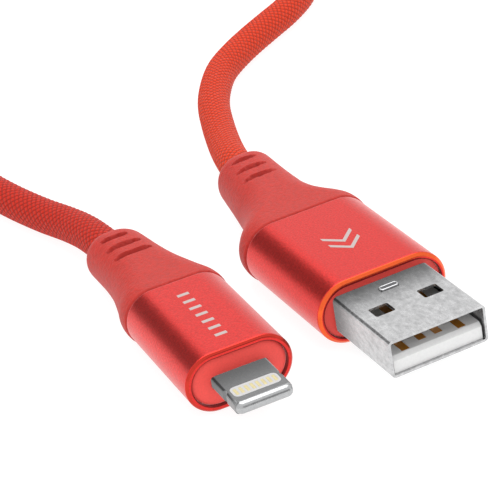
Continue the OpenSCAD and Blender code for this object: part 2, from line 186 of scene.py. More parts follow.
def rectPoint(u, width, height, corner):
    # a point on a rounded rectangle's outline; u starts in the middle of the underside
    wide, tall = width / 2 - corner, height / 2 - corner
    arc = math.pi * corner / 2
    d = (u % 1.0) * (4 * wide + 4 * tall + 4 * arc)
    if d < wide:
        return d, -height / 2
    d -= wide
    for y, z, low in ((wide, -tall, -90), (wide, tall, 0), (-wide, tall, 90), (-wide, -tall, 180)):
        if d < arc:
            a = math.radians(low) + d / corner
            return y + corner * math.cos(a), z + corner * math.sin(a)
        d -= arc
        side = 2 * tall if low in (-90, 90) else 2 * wide if low == 0 else wide
        if d < side:
            a = math.radians(low + 90)
            y, z = y + corner * math.cos(a), z + corner * math.sin(a)
            return y - d * math.sin(a), z + d * math.cos(a)
        d -= side
    return 0.0, -height / 2


def smoothStep(x):
    x = min(1.0, max(0.0, x))
    return x * x * (3 - 2 * x)


def between(keys, x):
    # smooth value between rows of (place, value)
    if x <= keys[0][0]:
        return keys[0][1]
    for (a, p), (b, q) in zip(keys, keys[1:]):
        if x <= b:
            return p + (q - p) * smoothStep((x - a) / (b - a))
    return keys[-1][1]


# material helpers

def newMaterial(name, color, **values):
    material = bpy.data.materials.new(name)
    material.use_nodes = True
    shader = material.node_tree.nodes["Principled BSDF"]
    shader.inputs["Base Color"].default_value = (*color, 1)
    for socket, value in values.items():
        shader.inputs[socket.replace("_", " ")].default_value = value
    return material


def addNode(material, kind, **values):
    node = material.node_tree.nodes.new(kind)
    for key, value in values.items():
        if key in node.inputs:
            node.inputs[key].default_value = value
        else:
            setattr(node, key, value)
    return node


def joinNodes(material, out, into):
    material.node_tree.links.new(out, into)


def doMath(material, operation, a, b=None):
    node = addNode(material, "ShaderNodeMath", operation=operation)
    for i, value in enumerate((a, b)):
        if value is None:
            continue
        if isinstance(value, (int, float)):
            node.inputs[i].default_value = value
        else:
            joinNodes(material, value, node.inputs[i])
    return node.outputs[0]


def addGrain(material, scale, shade, dent, rough=None, stretch=(1, 1, 1), detail=4, depth=0.05):
    # fine colour change, tiny dents and uneven gloss on Object coordinates
    shader = material.node_tree.nodes["Principled BSDF"]
    spot = addNode(material, "ShaderNodeTexCoord")
    turn = addNode(material, "ShaderNodeMapping")
    turn.inputs["Scale"].default_value = stretch
    noise = addNode(material, "ShaderNodeTexNoise", Scale=scale, Detail=detail, Roughness=0.6)
    joinNodes(material, spot.outputs["Object"], turn.inputs["Vector"])
    joinNodes(material, turn.outputs["Vector"], noise.inputs["Vector"])
    color = shader.inputs["Base Color"].default_value[:3]
    ramp = addNode(material, "ShaderNodeValToRGB")
    ramp.color_ramp.elements[0].position = 0.3
    ramp.color_ramp.elements[1].position = 0.7
    ramp.color_ramp.elements[0].color = (*[c * (1 - shade) for c in color], 1)
    ramp.color_ramp.elements[1].color = (*[min(1, c * (1 + shade)) for c in color], 1)
    joinNodes(material, noise.outputs["Fac"], ramp.inputs["Fac"])
    joinNodes(material, ramp.outputs["Color"], shader.inputs["Base Color"])
    bump = addNode(material, "ShaderNodeBump", Strength=dent, Distance=depth * mm)
    joinNodes(material, noise.outputs["Fac"], bump.inputs["Height"])
    joinNodes(material, bump.outputs["Normal"], shader.inputs["Normal"])
    if rough:
        spread = addNode(material, "ShaderNodeMapRange")
        spread.inputs["To Min"].default_value = rough[0]
        spread.inputs["To Max"].default_value = rough[1]
        joinNodes(material, noise.outputs["Fac"], spread.inputs["Value"])
        joinNodes(material, spread.outputs["Result"], shader.inputs["Roughness"])
    return material


def scaleColor(material, before, amount):
    # the colour that comes from before, times amount
    shader = material.node_tree.nodes["Principled BSDF"]
    tone = addNode(material, "ShaderNodeVectorMath", operation="SCALE")
    joinNodes(material, before, tone.inputs[0])
    joinNodes(material, amount, tone.inputs["Scale"])
    joinNodes(material, tone.outputs["Vector"], shader.inputs["Base Color"])


def fadeAlong(material, low, high, share):
    # share of the colour up to low, rising to all of it at high, in mm along X
    shader = material.node_tree.nodes["Principled BSDF"]
    spot = addNode(material, "ShaderNodeTexCoord")
    parts = addNode(material, "ShaderNodeSeparateXYZ")
    spread = addNode(material, "ShaderNodeMapRange", interpolation_type="SMOOTHSTEP")
    spread.inputs["From Min"].default_value = low * mm
    spread.inputs["From Max"].default_value = high * mm
    spread.inputs["To Min"].default_value = share
    spread.inputs["To Max"].default_value = 1.0
    joinNodes(material, spot.outputs["Object"], parts.inputs[0])
    joinNodes(material, parts.outputs["X"], spread.inputs["Value"])
    scaleColor(material, shader.inputs["Base Color"].links[0].from_socket, spread.outputs["Result"])


def paintGrooveShade(material, share):
    # painted shade: darker where the piece's own "groove" value is high, deep in the grooves
    shader = material.node_tree.nodes["Principled BSDF"]
    spot = addNode(material, "ShaderNodeAttribute", attribute_name="groove")
    spread = addNode(material, "ShaderNodeMapRange")
    spread.inputs["To Min"].default_value = 1.0
    spread.inputs["To Max"].default_value = share
    joinNodes(material, spot.outputs["Fac"], spread.inputs["Value"])
    scaleColor(material, shader.inputs["Base Color"].links[0].from_socket, spread.outputs["Result"])


# cord

cord = {
    "diameter": 4.4,
    "bump": 0.055,  # from the bottom of the braid's gaps to the top of its strands
    "coilMiddle": (-146.5, 14.0),
    "coilTurns": 4.5,
    "tieAngle": 200,
    "tieThickness": 0.8,
    "tieLevel": 12,  # degrees each side of the tie where the cord is fully up
    "tieSlope": 22,  # and the degrees it takes to come down
    "cellsAround": 16,
    "cellLength": 0.95,
    "pointsPerTurn": 30,
    "pointsPerSpan": 24,
}

# the cord's middle line in mm, from the wide plug to the coil and from the coil to the slim plug
runWide = [
    (-25.45, 1.75, 3.9), (-29.5, 2.5, 3.7), (-33.5, 3.6, 3.1), (-38, 5, 2.5), (-44, 7, 2.2),
    (-50, 9.3, 2.2), (-55, 12, 2.2), (-59.5, 15.2, 2.2), (-63, 19, 2.2), (-66, 23, 2.2),
    (-69, 27.5, 2.2), (-72, 32, 2.2), (-76, 36.5, 2.2), (-81, 39.8, 2.2), (-87, 41.8, 2.2),
    (-95, 43, 2.2), (-104, 43.2, 2.2), (-114, 42.9, 2.2), (-124, 42.3, 2.2), (-134, 41.7, 2.2),
    (-146.5, 41.4, 2.2),
]
runSlim = [
    (-146.5, -11.2, 6), (-140, -11.3, 6.4), (-134, -11.8, 6.2), (-127, -12.8, 4.4), (-119, -14.4, 2.6),
    (-111, -16.6, 2.2), (-103, -19, 2.2), (-95, -21.3, 2.2), (-87, -23.2, 2.2), (-79, -24.6, 2.2),
    (-71, -25.4, 2.2), (-63, -25.6, 2.2), (-55, -25.1, 2.2), (-48, -24.1, 2.2), (-42, -22.9, 2.2),
    (-36, -21.4, 2.3), (-31, -20.2, 2.7), (-26.5, -19.6, 3.2), (-22.5, -19.4, 3.5), (-19.11, -19.25, 3.6),
]
# radius and height of the coiled cord at each turn
coilRadius = [
    (0, 27.4), (0.5, 27.4), (1, 23), (1.5, 23), (2, 18.6), (2.6, 18.6), (3, 20.8), (3.5, 20.8), (4, 25.2),
]
coilHeight = [(2.45, 2.2), (2.75, 6.01)]


def tieLift(angle):
    # the cord rises over the tie that passes under it
    away = abs((angle - cord["tieAngle"] + 180) % 360 - 180)
    return cord["tieThickness"] * (1 - smoothStep((away - cord["tieLevel"]) / cord["tieSlope"]))


def coilPoint(turn):
    angle = 90 + 360 * turn
    radius = between(coilRadius, turn)
    x = cord["coilMiddle"][0] + radius * math.cos(math.radians(angle))
    y = cord["coilMiddle"][1] + radius * math.sin(math.radians(angle))
    return x, y, between(coilHeight, turn) + tieLift(angle)


def cordPath():
    perTurn = cord["pointsPerTurn"]
    count = int(cord["coilTurns"] * perTurn)
    rough = runWide[:-1] + [coilPoint(k / perTurn) for k in range(count + 1)] + runSlim[1:]
    rough = [Vector(p) * mm for p in rough]
    fine = []
    for i in range(len(rough) - 1):
        a, b = rough[i], rough[i + 1]
        before = rough[i - 1] if i else a + Vector((4, 0, 0)) * mm  # straight out of the boot
        after = rough[i + 2] if i + 2 < len(rough) else b + (b - a)
        span = (b - a).length
        goingIn = (b - before).normalized() * span / 3
        goingOut = (after - a).normalized() * span / 3
        fine += interpolate_bezier(a, a + goingIn, b - goingOut, b, cord["pointsPerSpan"])[:-1]
    fine.append(rough[-1])
    lengths = [0.0]
    for p, q in zip(fine, fine[1:]):
        lengths.append(lengths[-1] + (q - p).length)
    total = lengths[-1]
    count = 2 * round(total / (cord["cellLength"] * mm))  # two rings for each cell of the braid
    even, k = [], 0
    for n in range(count + 1):
        want = total * n / count
        while k < len(fine) - 2 and lengths[k + 1] < want:
            k += 1
        share = (want - lengths[k]) / max(1e-9, lengths[k + 1] - lengths[k])
        even.append(fine[k].lerp(fine[k + 1], min(1, share)))
    return even, total


braid = {
    "nearWide": (0.67, 0.042, 0.010, 1),
    "nearSlim": (0.53, 0.023, 0.010, 1),
    # painted shade in the braid's gaps and a painted highlight on its strand tops
    "gap": (0.05, 0.58),  # height at the bottom of a gap and its share of the colour
    "top": (0.75, 1.10),
    "flatness": 0.45,
    "threads": 8,  # half waves across each strand
    "threadHeight": 0.05,
    "bumpHeight": 0.00013,
}


def braidMaterial(cells):
    material = newMaterial("braidedNylon", (0.62, 0.06, 0.03), Roughness=0.6, Specular_IOR_Level=0.2)
    shader = material.node_tree.nodes["Principled BSDF"]
    uv = addNode(material, "ShaderNodeUVMap", uv_map="wrap")
    parts = addNode(material, "ShaderNodeSeparateXYZ")
    joinNodes(material, uv.outputs["UV"], parts.inputs[0])
    across = doMath(material, "MULTIPLY", parts.outputs["X"], cord["cellsAround"])
    along = doMath(material, "MULTIPLY", parts.outputs["Y"], cells)
    a = doMath(material, "ADD", across, along)
    b = doMath(material, "SUBTRACT", across, along)
    fa = doMath(material, "FRACT", a)
    fb = doMath(material, "FRACT", b)
    cell = doMath(material, "ADD", doMath(material, "FLOOR", a), doMath(material, "FLOOR", b))
    over = doMath(material, "MODULO", doMath(material, "ABSOLUTE", cell), 2)
    domeA = doMath(material, "SINE", doMath(material, "MULTIPLY", fa, math.pi))
    domeB = doMath(material, "SINE", doMath(material, "MULTIPLY", fb, math.pi))
    # each strand is round across its width and nearly level along it
    levelA = doMath(material, "POWER", domeA, braid["flatness"])
    levelB = doMath(material, "POWER", domeB, braid["flatness"])
    strandA = doMath(material, "MULTIPLY", domeA, levelB)
    strandB = doMath(material, "MULTIPLY", domeB, levelA)
    pick = addNode(material, "ShaderNodeMix")
    joinNodes(material, over, pick.inputs[0])
    joinNodes(material, strandA, pick.inputs[2])
    joinNodes(material, strandB, pick.inputs[3])
    threadsA = doMath(material, "SINE", doMath(material, "MULTIPLY", fa, math.pi * braid["threads"]))
    threadsB = doMath(material, "SINE", doMath(material, "MULTIPLY", fb, math.pi * braid["threads"]))
    threads = addNode(material, "ShaderNodeMix")
    joinNodes(material, over, threads.inputs[0])
    joinNodes(material, threadsA, threads.inputs[2])
    joinNodes(material, threadsB, threads.inputs[3])
    fine = doMath(material, "MULTIPLY", threads.outputs[0], braid["threadHeight"])
    height = doMath(material, "ADD", pick.outputs[0], fine)
    bump = addNode(material, "ShaderNodeBump", Strength=1.0, Distance=braid["bumpHeight"])
    joinNodes(material, height, bump.inputs["Height"])
    joinNodes(material, bump.outputs["Normal"], shader.inputs["Normal"])
    # painted shade in the gaps and a painted highlight on the strand tops, and deeper red towards the
    # slim plug
    warm = addNode(material, "ShaderNodeValToRGB")
    warm.color_ramp.elements[0].position = 0.0
    warm.color_ramp.elements[0].color = braid["nearWide"]
    warm.color_ramp.elements[1].position = 1.0
    warm.color_ramp.elements[1].color = braid["nearSlim"]
    joinNodes(material, parts.outputs["Y"], warm.inputs["Fac"])
    gap = addNode(material, "ShaderNodeMapRange")
    gap.inputs["From Min"].default_value, gap.inputs["To Min"].default_value = braid["gap"]
    gap.inputs["From Max"].default_value, gap.inputs["To Max"].default_value = braid["top"]
    joinNodes(material, pick.outputs[0], gap.inputs["Value"])
    scaleColor(material, warm.outputs["Color"], gap.outputs["Result"])
    return material


def makeCord():
    path, length = cordPath()
    count = len(path) - 1
    around = 2 * cord["cellsAround"]
    sides, ups = [], []
    side = None
    for i, p in enumerate(path):
        ahead = (path[min(count, i + 1)] - path[max(0, i - 1)]).normalized()
        if side is None:
            side = Vector((0, 0, 1)).cross(ahead).normalized()
        side = (side - ahead * side.dot(ahead)).normalized()  # no twist from ring to ring
        sides.append(side.copy())
        ups.append(ahead.cross(side))

    def place(u, t):
        i = round(t * count)
        a = 2 * math.pi * u
        proud = cord["bump"] * (0.2 if (i + round(u * around)) % 2 else -0.8)  # strand tops and gaps
        radius = (cord["diameter"] / 2 + proud) * mm
        return path[i] + radius * (math.cos(a) * sides[i] + math.sin(a) * ups[i])

    bm = rolledGrid(around, count, place)
    piece = finishMesh(bm, "braided_cord", [braidMaterial(count / 2)], cap=True, sharp=70)
    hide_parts("cord_run_wide", "cord_coil", "cord_run_slim")
    print("cord", round(length, 4), "m")
    return piece, path


braidedCord, cordLine = makeCord()


# red anodised sleeves

sleeves = {
    "wide": {
        "width": 16.4, "height": 7.8, "front": 13.55, "seam": -4.45, "chamfer": 0.36, "place": widePlace,
    },
    "slim": {
        "width": 12.7, "height": 7.2, "front": 0.0, "seam": -17.3, "chamfer": 0.28, "place": slimPlace,
    },
    "wall": 0.7,
    "recess": 0.35,
    "collar": 1.5,
    "around": 144,
}

anodised = newMaterial("anodisedRed", (0.71, 0.034, 0.029), Metallic=1.0, Roughness=0.30)
anodised.node_tree.nodes["Principled BSDF"].inputs["Coat Weight"].default_value = 0.2
anodised.node_tree.nodes["Principled BSDF"].inputs["Coat Roughness"].default_value = 0.25
addGrain(anodised, 4500, 0.17, 0.6, (0.26, 0.36))
polished = {
    "wide": newMaterial("polishedChamfer", (0.86, 0.125, 0.035), Metallic=1.0, Roughness=0.16),
    "slim": newMaterial("brightRim", (0.58, 0.045, 0.03), Metallic=1.0, Roughness=0.2),
}
for rim in polished.values():
    addGrain(rim, 3000, 0.05, 0.1, (0.14, 0.22))
# painted shade: a dark red for the shade inside the sleeves' mouths
mouthShadeRed = newMaterial("mouthShadeRed", (0.22, 0.012, 0.010), Roughness=0.6, Specular_IOR_Level=0.15)
addGrain(mouthShadeRed, 4000, 0.1, 0.2)


def makeSleeve(kind):
    s = sleeves[kind]
    front, seam, c, wall = s["front"], s["seam"], s["chamfer"], sleeves["wall"]
    # rows of place along the plug and depth in from the outside: seam, side, chamfer, mouth
    profile = [
        (seam, 0.16), (seam + 0.04, 0.07), (seam + 0.13, 0.01), (seam + 0.2, 0), (seam + 0.3, 0),
        (seam + 4, 0), (front - c - 4, 0), (front - c - 0.16, 0), (front - c - 0.08, 0),
        (front - c + 0.03, 0.03), (front - c + 0.07, 0.07), (front - 0.07, c - 0.07),
        (front - 0.03, c - 0.02), (front, c + 0.05), (front, wall - 0.1), (front - 0.05, wall),
        (front - 0.2, wall), (front - 3, wall), (seam + 0.05, wall), (seam, wall - 0.05),
    ]
    # rows 14 to 18 take the painted shade of the mouth
    chamferRows, shadedMouthRows = (9, 10, 11, 12), (14, 15, 16, 17, 18)

    def pointAt(u, row):
        (y, z), _ = stadiumPoint(u, s["width"] / 2 - row[1], s["height"] / 2 - row[1])
        return Vector((row[0], y, z + s["height"] / 2)) * mm

    piece = sweptRing(
        sleeves["around"], profile, pointAt, kind + "_sleeve_shell", [anodised, polished[kind], mouthShadeRed],
        50, s["place"], {**dict.fromkeys(chamferRows, 1), **dict.fromkeys(shadedMouthRows, 2)},
    )
    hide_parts(kind + "_sleeve")


for kind in ("wide", "slim"):
    makeSleeve(kind)
print("sleeves done")


# collars inside the sleeves' mouths

collars = {
    "wide": {"hole": (12.0, 4.5, 0.5), "dome": 0.0},
    "slim": {"hole": (6.7, 1.5, 0.4), "dome": 0.3},
}
collarRed = newMaterial("collarRed", (0.95, 0.085, 0.070), Roughness=0.5, Specular_IOR_Level=0.35)
addGrain(collarRed, 5000, 0.06, 0.25, (0.45, 0.56))


def makeCollar(kind):
    s, c = sleeves[kind], collars[kind]
    inner = sleeves["wall"]
    front = s["front"] - sleeves["recess"]
    back = front - sleeves["collar"]
    dome = c["dome"]
    # rows of share of the way out from the hole, and place along the plug
    profile = [(0.0, back), (0.0, front - 0.12 + dome), (0.04, front - 0.02 + dome)]
    profile += [(share, front + dome * (1 - share ** 3)) for share in (0.15, 0.35, 0.55, 0.75, 0.9)]
    profile += [(0.97, front - 0.05), (0.995, front - 0.15), (1.0, back)]

    def pointAt(u, row):
        (y, z), _ = stadiumPoint(u, s["width"] / 2 - inner, s["height"] / 2 - inner)
        hy, hz = rectPoint(u, *c["hole"])
        share, x = row
        return Vector((x, hy + (y - hy) * share, hz + (z - hz) * share + s["height"] / 2)) * mm

    piece = sweptRing(
        sleeves["around"], profile, pointAt, kind + "_collar_face", [collarRed], 40, s["place"],
    )
    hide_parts(kind + "_collar")


for kind in ("wide", "slim"):
    makeCollar(kind)
print("collars done")


# flexible boots

boots = {
    "wide": {
        "length": 21.0, "lean": 1.75, "place": widePlace,
        "grooves": [(0.60, 4.6), (0.73, 4.2), (0.86, 3.4)],  # share of the length, and how long
        "ends": 0.6,  # higher for more pointed grooves
        "shape": [  # share of the length, half width, half height
            (0, 8.2, 3.9), (0.05, 8.25, 3.9), (0.1, 8.15, 3.9), (0.15, 7.65, 3.88), (0.21, 6.8, 3.85),
            (0.3, 5.75, 3.8), (0.42, 4.95, 3.75), (0.53, 4.65, 3.7), (0.65, 4.4, 3.65), (0.77, 4.2, 3.6),
            (0.88, 4.05, 3.5), (0.93, 3.95, 3.4), (0.965, 3.65, 3.1), (0.99, 3.15, 2.7), (1, 2.7, 2.5),
        ],
    },
    "slim": {
        "length": 18.3, "lean": -1.05, "place": slimPlace,
        "grooves": [(0.56, 4.6), (0.70, 4.2), (0.84, 3.4)],
        "ends": 0.22,
        "shape": [
            (0, 6.35, 3.6), (0.06, 6.4, 3.6), (0.12, 6.3, 3.6), (0.2, 5.85, 3.56),
            (0.31, 5.3, 3.5), (0.42, 4.8, 3.45), (0.53, 4.45, 3.4), (0.65, 4.2, 3.35), (0.77, 4.05, 3.3),
            (0.87, 3.95, 3.2), (0.92, 3.85, 3.1), (0.96, 3.5, 2.9), (0.99, 3.0, 2.6), (1, 2.65, 2.45),
        ],
    },
    "around": 160,
    "along": 230,
    "grooveWidth": 1.1,
    "grooveDepth": 0.85,
    "grooveSide": -0.4,
    "grooveRound": 0.7,
    "leanCurve": 1.4,
    "crowding": 0.8,  # how much closer the rings stand at both ends
    "edgeProud": 0.1,
    "edgeRound": 0.3,
    "edgeDrop": 0.35,
    "edgeFade": 2.5,
}

bootRubber = newMaterial("bootRubber", (0.50, 0.029, 0.020), Roughness=0.55, Specular_IOR_Level=0.35)
addGrain(bootRubber, 2300, 0.16, 1.0, (0.46, 0.62), detail=8, depth=0.14)
# painted shade in the boots' grooves
paintGrooveShade(bootRubber, 0.78)


def curveAt(rows, share, column):
    # smooth curve through a table's rows
    k = 0
    while k < len(rows) - 2 and rows[k + 1][0] < share:
        k += 1
    a, b = rows[k], rows[k + 1]
    before, after = rows[max(0, k - 1)], rows[min(len(rows) - 1, k + 2)]
    span = b[0] - a[0]
    t = (share - a[0]) / span
    slopeA = (b[column] - before[column]) / max(1e-6, b[0] - before[0]) * span
    slopeB = (after[column] - a[column]) / max(1e-6, after[0] - a[0]) * span
    return (
        a[column] * (2 * t ** 3 - 3 * t ** 2 + 1) + slopeA * (t ** 3 - 2 * t ** 2 + t)
        + b[column] * (3 * t ** 2 - 2 * t ** 3) + slopeB * (t ** 3 - t ** 2)
    )


def grooveDepth(boot, x, y):
    # slits across the broad faces, pointed on the wide boot and round-ended on the slim one
    deep, ends = boots["grooveDepth"], boot["ends"]
    depth = 0.0
    for share, length in boot["grooves"]:
        reach = 1 - (2 * (y - boots["grooveSide"]) / length) ** 2
        if reach <= 0:
            continue
        half = boots["grooveWidth"] / 2 * reach ** ends
        away = (x - share * boot["length"]) / half
        if -1 < away < 1:
            depth = max(depth, deep * reach ** (0.8 * ends) * (1 - away * away) ** boots["grooveRound"])
    return depth


def edgeRoll(x):
    # a rounded edge, a little proud of the sleeve and sinking back along the boot
    edge = boots["edgeRound"]
    if x < edge:
        return boots["edgeProud"] - boots["edgeDrop"] * (1 - x / edge) ** 2
    return boots["edgeProud"] * (1 - smoothStep((x - edge) / boots["edgeFade"]))


def makeBoot(kind):
    b, s = boots[kind], sleeves[kind]
    rows, length = b["shape"], b["length"]
    along = boots["along"]
    # rings close together at both ends of the outside, then over the lip and into the cord's hole
    lip = [(1.0, 0.0), (1.0, -0.2), (1.0, -0.42)]
    steps = along + len(lip) + 1

    def station(t):
        # share of the length and how far in from the outside
        k = round(t * steps)
        if k == 0:
            return 0.0, -0.7  # closed towards the sleeve
        if k <= along:
            even = (k - 1) / (along - 1)
            return even - boots["crowding"] * math.sin(2 * math.pi * even) / (2 * math.pi), 0.0
        return lip[min(k - along - 1, len(lip) - 1)]

    def skinPoint(u, t):
        share, tuck = station(t)
        x = share * length
        grow = tuck if tuck else edgeRoll(x)
        (y, z), (_, nz) = stadiumPoint(u, curveAt(rows, share, 1) + grow, curveAt(rows, share, 2) + grow)
        groove = grooveDepth(b, x, y) if share < 1.0 and tuck == 0 and abs(nz) > 0.5 else 0.0
        return x + (0.35 * tuck if share == 1.0 else 0), y, z - math.copysign(groove, nz), groove, share

    def place(u, t):
        x, y, z, _, share = skinPoint(u, t)
        y += b["lean"] * share ** boots["leanCurve"]
        return Vector((s["seam"] - x, y, max(0.0, z + s["height"] / 2))) * mm

    # each corner's share of painted shade, by its groove depth
    def grooveShade(u, t):
        return min(1.0, skinPoint(u, t)[3] / (0.6 * boots["grooveDepth"]))  # full from 0.6 of the depth

    bm = rolledGrid(boots["around"], steps, place, grooveShade=grooveShade)
    piece = finishMesh(bm, kind + "_boot_skin", [bootRubber], s["place"], 50, cap=True)
    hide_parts(kind + "_boot")


for kind in ("wide", "slim"):
    makeBoot(kind)
print("boots done")


# metal and plastic of the plugs' noses

shellSteel = newMaterial("shellSteel", (0.55, 0.55, 0.555), Metallic=1.0, Roughness=0.24)
addGrain(shellSteel, 1250, 0.22, 0.35, (0.17, 0.34), (1, 1.5, 1.5), 9)
# painted shade: the steel darker inside and near the collar's mouth
fadeAlong(shellSteel, 12.9, 19.5, 0.2)  # darker towards the sleeve
tabMetal = newMaterial("tabMetal", (0.46, 0.465, 0.47), Metallic=0.9, Roughness=0.2)
addGrain(tabMetal, 3000, 0.07, 0.15, (0.16, 0.26))
# painted reflection: the tab's flat painted darker than its round nose, so the nose shows a painted
# highlight
fadeAlong(tabMetal, 22.45, 22.75, 0.54)  # a brighter round nose
# painted shade: the tab darker towards the sleeve's mouth
fadeAlong(tabMetal, 16.4, 21.5, 0.5)  # darker towards the sleeve
tongueWhite = newMaterial("tongueWhite", (0.84, 0.84, 0.835), Roughness=0.35)
addGrain(tongueWhite, 3000, 0.03, 0.15)
stripWhite = newMaterial("stripWhite", (0.56, 0.56, 0.555), Roughness=0.42)
addGrain(stripWhite, 3000, 0.04, 0.15)
contactGold = newMaterial("contactGold", (0.50, 0.20, 0.02), Metallic=0.35, Roughness=0.3)
addGrain(contactGold, 4000, 0.12, 0.2, (0.24, 0.36))
padGold = newMaterial("padGold", (0.66, 0.58, 0.31), Metallic=0.3, Roughness=0.38)
addGrain(padGold, 4000, 0.06, 0.15, (0.3, 0.44))

# node, new piece, finish, edge width in mm, slot
crispPieces = [
    ("wide_steel_shell", "wide_shell_crisp", shellSteel, 0.05, "plug_steel"),
    ("wide_insulator", "wide_tongue", tongueWhite, 0.08, "white_insulator"),
    ("wide_power_contacts", "wide_long_contacts", contactGold, 0.08, "contact_gold"),
    ("wide_data_contacts", "wide_short_contacts", contactGold, 0.08, "contact_gold"),
    ("slim_tab_frame", "slim_tab", tabMetal, 0.06, "tab_metal"),
    ("slim_tab_insulator", "slim_tab_strip", stripWhite, 0.03, "white_insulator"),
    ("slim_contacts_top", "slim_pads_top", padGold, 0.05, "contact_gold"),
    ("slim_contacts_bottom", "slim_pads_bottom", padGold, 0.05, "contact_gold"),
]
# a pressed catch: a bright rolled rim round a dark sheet of painted shade in its slot
lug = {
    "at": 15.15, "width": 2.1, "length": 0.7, "corner": 0.3, "around": 64,
    "rim": 0.12, "plate": 6.22, "slot": 6.295, "slotThickness": 0.02,
}
lugSteel = newMaterial("lugSteel", (0.60, 0.60, 0.61), Metallic=1.0, Roughness=0.2)
addGrain(lugSteel, 4000, 0.06, 0.1, (0.12, 0.2))
# painted shade for the slot in the catch
lugShade = newMaterial("lugShade", (0.10, 0.10, 0.105), Metallic=0.6, Roughness=0.4)
addGrain(lugShade, 3000, 0.2, 0.2)


def makeLug():
    rim = lug["rim"]
    turns = [math.radians(30 * k) for k in range(12)]
    profile = [(rim * math.cos(a), rim * math.sin(a)) for a in turns]

    def pointAt(u, row):
        out, up = row
        y, x = rectPoint(u, lug["width"] + 2 * out, lug["length"] + 2 * out, lug["corner"] + out)
        return Vector((lug["at"] + x, y, lug["plate"] + up)) * mm

    sweptRing(lug["around"], profile, pointAt, "wide_lug_rim", [lugSteel], 60)
    # painted shade: a dark sheet laid in the slot
    bm = bmesh.new()
    bmesh.ops.create_circle(bm, cap_ends=True, segments=lug["around"], radius=1)
    for k, vert in enumerate(bm.verts):
        y, x = rectPoint(k / lug["around"], lug["width"], lug["length"], lug["corner"])
        vert.co = Vector((lug["at"] + x, y, lug["slot"])) * mm
    raiseFaces(bm, lug["slotThickness"])
    finishMesh(bm, "wide_lug_slot", [lugShade], sharp=30)


makeLug()
for node, name, material, bevel, slotName in crispPieces:
    crispCopy(node, name, material, bevel)
print("noses done")


# parts sealed inside the plugs keep their shape and take a finish

# a part whose name holds the word takes the colour, gloss and grain size beside it
innerFinishes = {
    "solder": ((0.60, 0.61, 0.63), {"Metallic": 1.0, "Roughness": 0.4}, 5000),
    "inner_mould": ((0.80, 0.79, 0.74), {"Roughness": 0.5}, 1500),
    "clamp": ((0.62, 0.62, 0.64), {"Metallic": 1.0, "Roughness": 0.35}, 2500),
    "shield_can": ((0.66, 0.66, 0.68), {"Metallic": 1.0, "Roughness": 0.3}, 2500),
    "cord_end": ((0.58, 0.05, 0.03), {"Roughness": 0.6}, 3000),
    "wire_red": ((0.60, 0.03, 0.03), {"Roughness": 0.3}, 3000),
    "wire_black": ((0.02, 0.02, 0.02), {"Roughness": 0.3}, 3000),
    "wire_white": ((0.80, 0.80, 0.80), {"Roughness": 0.3}, 3000),
    "wire_green": ((0.03, 0.32, 0.08), {"Roughness": 0.3}, 3000),
    "circuit_board": ((0.03, 0.16, 0.09), {"Roughness": 0.35}, 4000),
    "chip": ((0.03, 0.03, 0.035), {"Roughness": 0.45}, 5000),
    "capacitors": ((0.45, 0.33, 0.18), {"Roughness": 0.5}, 5000),
}


def finishInside():
    made = {}
    for key, (color, values, scale) in innerFinishes.items():
        material = newMaterial(key.replace("_", " ").title().replace(" ", ""), color, **values)
        made[key] = addGrain(material, scale, 0.08, 0.2)
    for name, node in nodes.items():
        if node.hide_render:
            continue
        for key in innerFinishes:
            if key in name:
                node.visible_glossy = False  # kept out of the metal's reflections
                node.data.materials.clear()
                node.data.materials.append(made[key])


finishInside()


# strap that ties the coil

strap = {
    "around": 200,
    "width": 10.0,
    "thickness": 0.8,
    "bundleRadius": 23.0,  # middle of the coil's strands
    "flap": (0.16, 0.44),  # the loose end, as shares of the way round
    "flapThickness": 0.45,
}
strapRubber = newMaterial("strapRubber", (0.035, 0.035, 0.04), Roughness=0.6)
addGrain(strapRubber, 1500, 0.15, 0.6, (0.5, 0.7))


def bundlePoint(u, wrap):
    # a point on the outline round the coil's five strands, by its corners' arcs
    r = cord["diameter"] / 2 + wrap
    d = cord["diameter"]
    rise = d * math.sin(math.radians(60))
    corners = [(d, 0, -90, 30), (d / 2, rise, 30, 90), (-d / 2, rise, 90, 150), (-d, 0, 150, 270)]
    points = [(x + r * math.cos(math.radians(a)), z + r * math.sin(math.radians(a)))
              for x, z, low, high in corners for a in range(low, high + 1, 10)]
    points.append(points[0])
    spans = [math.dist(p, q) for p, q in zip(points, points[1:])]
    want = (u % 1.0) * sum(spans)
    for (p, q), span in zip(zip(points, points[1:]), spans):
        if want <= span:
            span = max(span, 1e-9)
            return p[0] + (q[0] - p[0]) * want / span, p[1] + (q[1] - p[1]) * want / span
        want -= span
    return points[-1]


def makeStrap():
    half, thick = strap["width"] / 2, strap["thickness"]
    # rows of height over the cords and place across the strap
    profile = [
        (0.0, -half), (0.15, -half), (thick - 0.12, -half), (thick, -half + 0.15), (thick, -half / 2),
        (thick, 0.0), (thick, half / 2), (thick, half - 0.15), (thick - 0.12, half), (0.15, half),
        (0.0, half), (0.0, 0.0),
    ]
    turn = math.radians(cord["tieAngle"])

    def pointAt(u, row):
        low, high = strap["flap"]
        onTop = row[0] > 0.3 and low < u < high  # the loose end lies on the strap's outside
        across, z = bundlePoint(u, row[0] + (strap["flapThickness"] if onTop else 0.0))
        radius = strap["bundleRadius"] + across
        x = cord["coilMiddle"][0] + radius * math.cos(turn) - row[1] * math.sin(turn)
        y = cord["coilMiddle"][1] + radius * math.sin(turn) + row[1] * math.cos(turn)
        return Vector((x, y, z + cord["diameter"] / 2 + thick)) * mm

    piece = sweptRing(strap["around"], profile, pointAt, "coil_strap", [strapRubber], 40)
    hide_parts("cord_tie")
    return piece


coilStrap = makeStrap()


# plain pale marks on the sleeves, two chevrons and a row of bars

